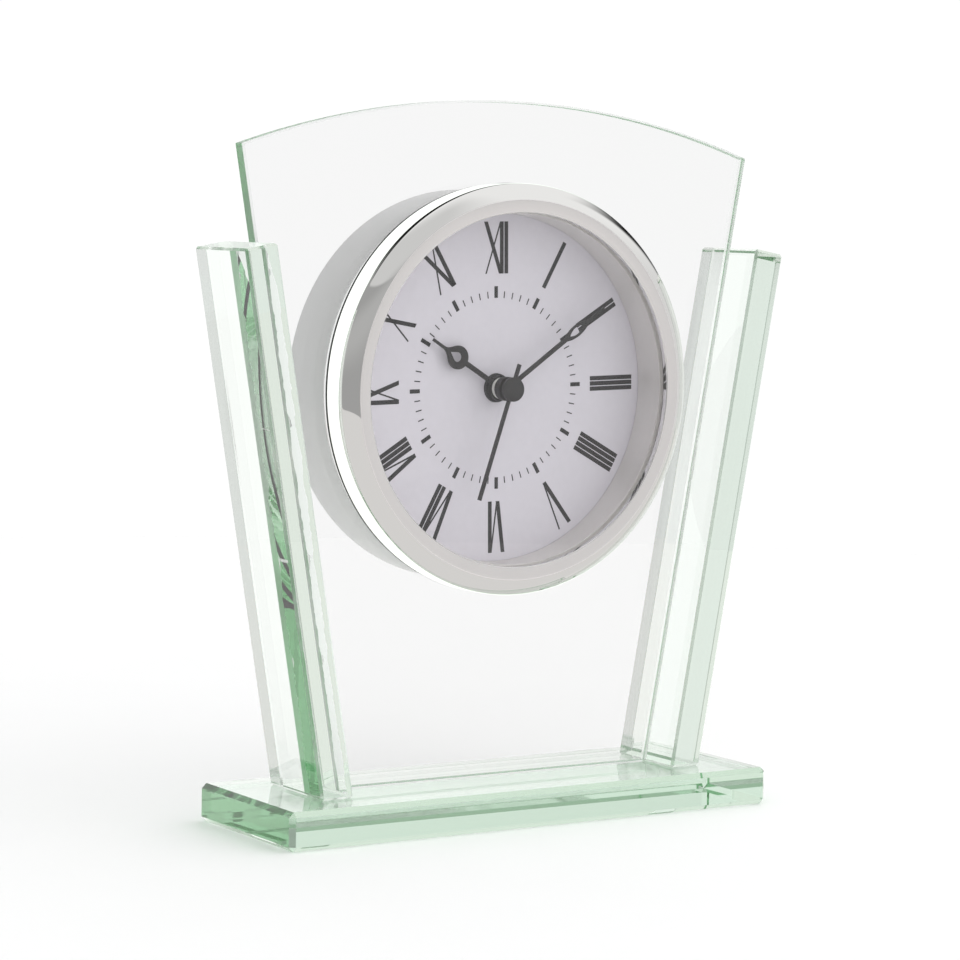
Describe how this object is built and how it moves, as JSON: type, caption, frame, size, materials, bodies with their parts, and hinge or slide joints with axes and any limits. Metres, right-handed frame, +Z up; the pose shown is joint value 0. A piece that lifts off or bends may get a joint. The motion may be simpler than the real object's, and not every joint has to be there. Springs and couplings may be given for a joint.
{
  "type": "mantel clock",
  "caption": "Free-standing glass mantel clock: arched glass panel between slanted glass columns on a glass base, with a round chrome-rimmed quartz clock set through the panel.",
  "frame": {"origin": "middle of the base's underside", "axes": "+Z up, +X to the right of someone facing the dial, +Y to the back, so the dial faces -Y"},
  "size_m": [0.1548, 0.045, 0.1748],
  "materials": {
    "base_glass": "polished clear float glass with green edges",
    "panel_glass": "polished clear float glass with green edges",
    "column_glass": "polished clear float glass with green edges",
    "crystal_glass": "clear mineral glass",
    "polished_chrome": "mirror polished",
    "satin_steel": "satin",
    "black_rubber": "matt",
    "clear_nylon": "translucent, matt",
    "reflector_silver": "satin",
    "dial_silver": "satin silver with dark printed numerals",
    "dark_hand": "satin dark grey",
    "black_plastic": "fine grained",
    "white_plastic": "smooth",
    "tan_plastic": "smooth",
    "board_green": "satin",
    "chip_black": "gloss",
    "bright_steel": "bright",
    "copper_wire": "enamelled",
    "ferrite": "ground",
    "cell_wrap": "semi gloss sleeve"
  },
  "bodies": {
    "case": {"glass_base": "base_glass", "glass_panel": "panel_glass", "left_column": "column_glass", "right_column": "column_glass", "hole_sleeve": "clear_nylon", "bezel_gasket": "black_rubber", "drum_case": "satin_steel", "bezel": "polished_chrome", "lens": "crystal_glass", "reflector_ring": "reflector_silver", "dial": "dial_silver", "movement_holder": "black_plastic", "back_cover": "black_plastic", "cover_screws": "bright_steel", "movement_front_plate": "black_plastic", "movement_rear_housing": "black_plastic", "battery": "cell_wrap", "positive_contact": "bright_steel", "negative_spring": "bright_steel", "stator": "bright_steel", "coil_core": "bright_steel", "coil_bobbin": "white_plastic", "coil_winding": "copper_wire", "circuit_board": "board_green", "driver_chip": "chip_black", "quartz_crystal": "bright_steel"},
    "seconds_group": {"seconds_arbor": "bright_steel", "seconds_wheel": "tan_plastic", "seconds_hand": "dark_hand"},
    "intermediate": {"intermediate_wheel": "white_plastic"},
    "rotor": {"rotor": "white_plastic", "rotor_magnet": "ferrite"},
    "third": {"third_wheel": "white_plastic"},
    "centre": {"centre_wheel": "tan_plastic"},
    "minute_group": {"minute_arbor": "bright_steel", "clutch_spring": "bright_steel", "minute_hand": "dark_hand"},
    "motion": {"motion_wheel": "white_plastic", "set_knob": "black_plastic"},
    "hour_group": {"hour_wheel": "white_plastic", "hour_hand": "dark_hand"}
  },
  "joints": [
    {"name": "seconds_spin", "type": "hinge", "parent": "case", "child": "seconds_group", "pos_m": [0, 0, 0.105], "axis": [0, 1, 0], "continuous": true},
    {"name": "intermediate_spin", "type": "hinge", "parent": "case", "child": "intermediate", "pos_m": [0.0054, 0, 0.11435], "axis": [0, 1, 0], "continuous": true},
    {"name": "rotor_spin", "type": "hinge", "parent": "case", "child": "rotor", "pos_m": [0.01267, 0, 0.11855], "axis": [0, 1, 0], "continuous": true},
    {"name": "third_spin", "type": "hinge", "parent": "case", "child": "third", "pos_m": [-0.01088, 0, 0.105], "axis": [0, 1, 0], "continuous": true},
    {"name": "centre_spin", "type": "hinge", "parent": "case", "child": "centre", "pos_m": [0, 0, 0.105], "axis": [0, 1, 0], "continuous": true},
    {"name": "minute_spin", "type": "hinge", "parent": "case", "child": "minute_group", "pos_m": [0, 0, 0.105], "axis": [0, 1, 0], "continuous": true},
    {"name": "motion_spin", "type": "hinge", "parent": "case", "child": "motion", "pos_m": [0.012, 0, 0.105], "axis": [0, 1, 0], "continuous": true},
    {"name": "hour_spin", "type": "hinge", "parent": "case", "child": "hour_group", "pos_m": [0, 0, 0.105], "axis": [0, 1, 0], "continuous": true}
  ],
  "couplings": [
    {"joint": "intermediate_spin", "follows": "seconds_spin", "ratio": -5},
    {"joint": "rotor_spin", "follows": "seconds_spin", "ratio": 30},
    {"joint": "third_spin", "follows": "seconds_spin", "ratio": -0.13333},
    {"joint": "centre_spin", "follows": "seconds_spin", "ratio": 0.016667},
    {"joint": "motion_spin", "follows": "minute_spin", "ratio": -0.33333},
    {"joint": "hour_spin", "follows": "minute_spin", "ratio": 0.083333}
  ]
}
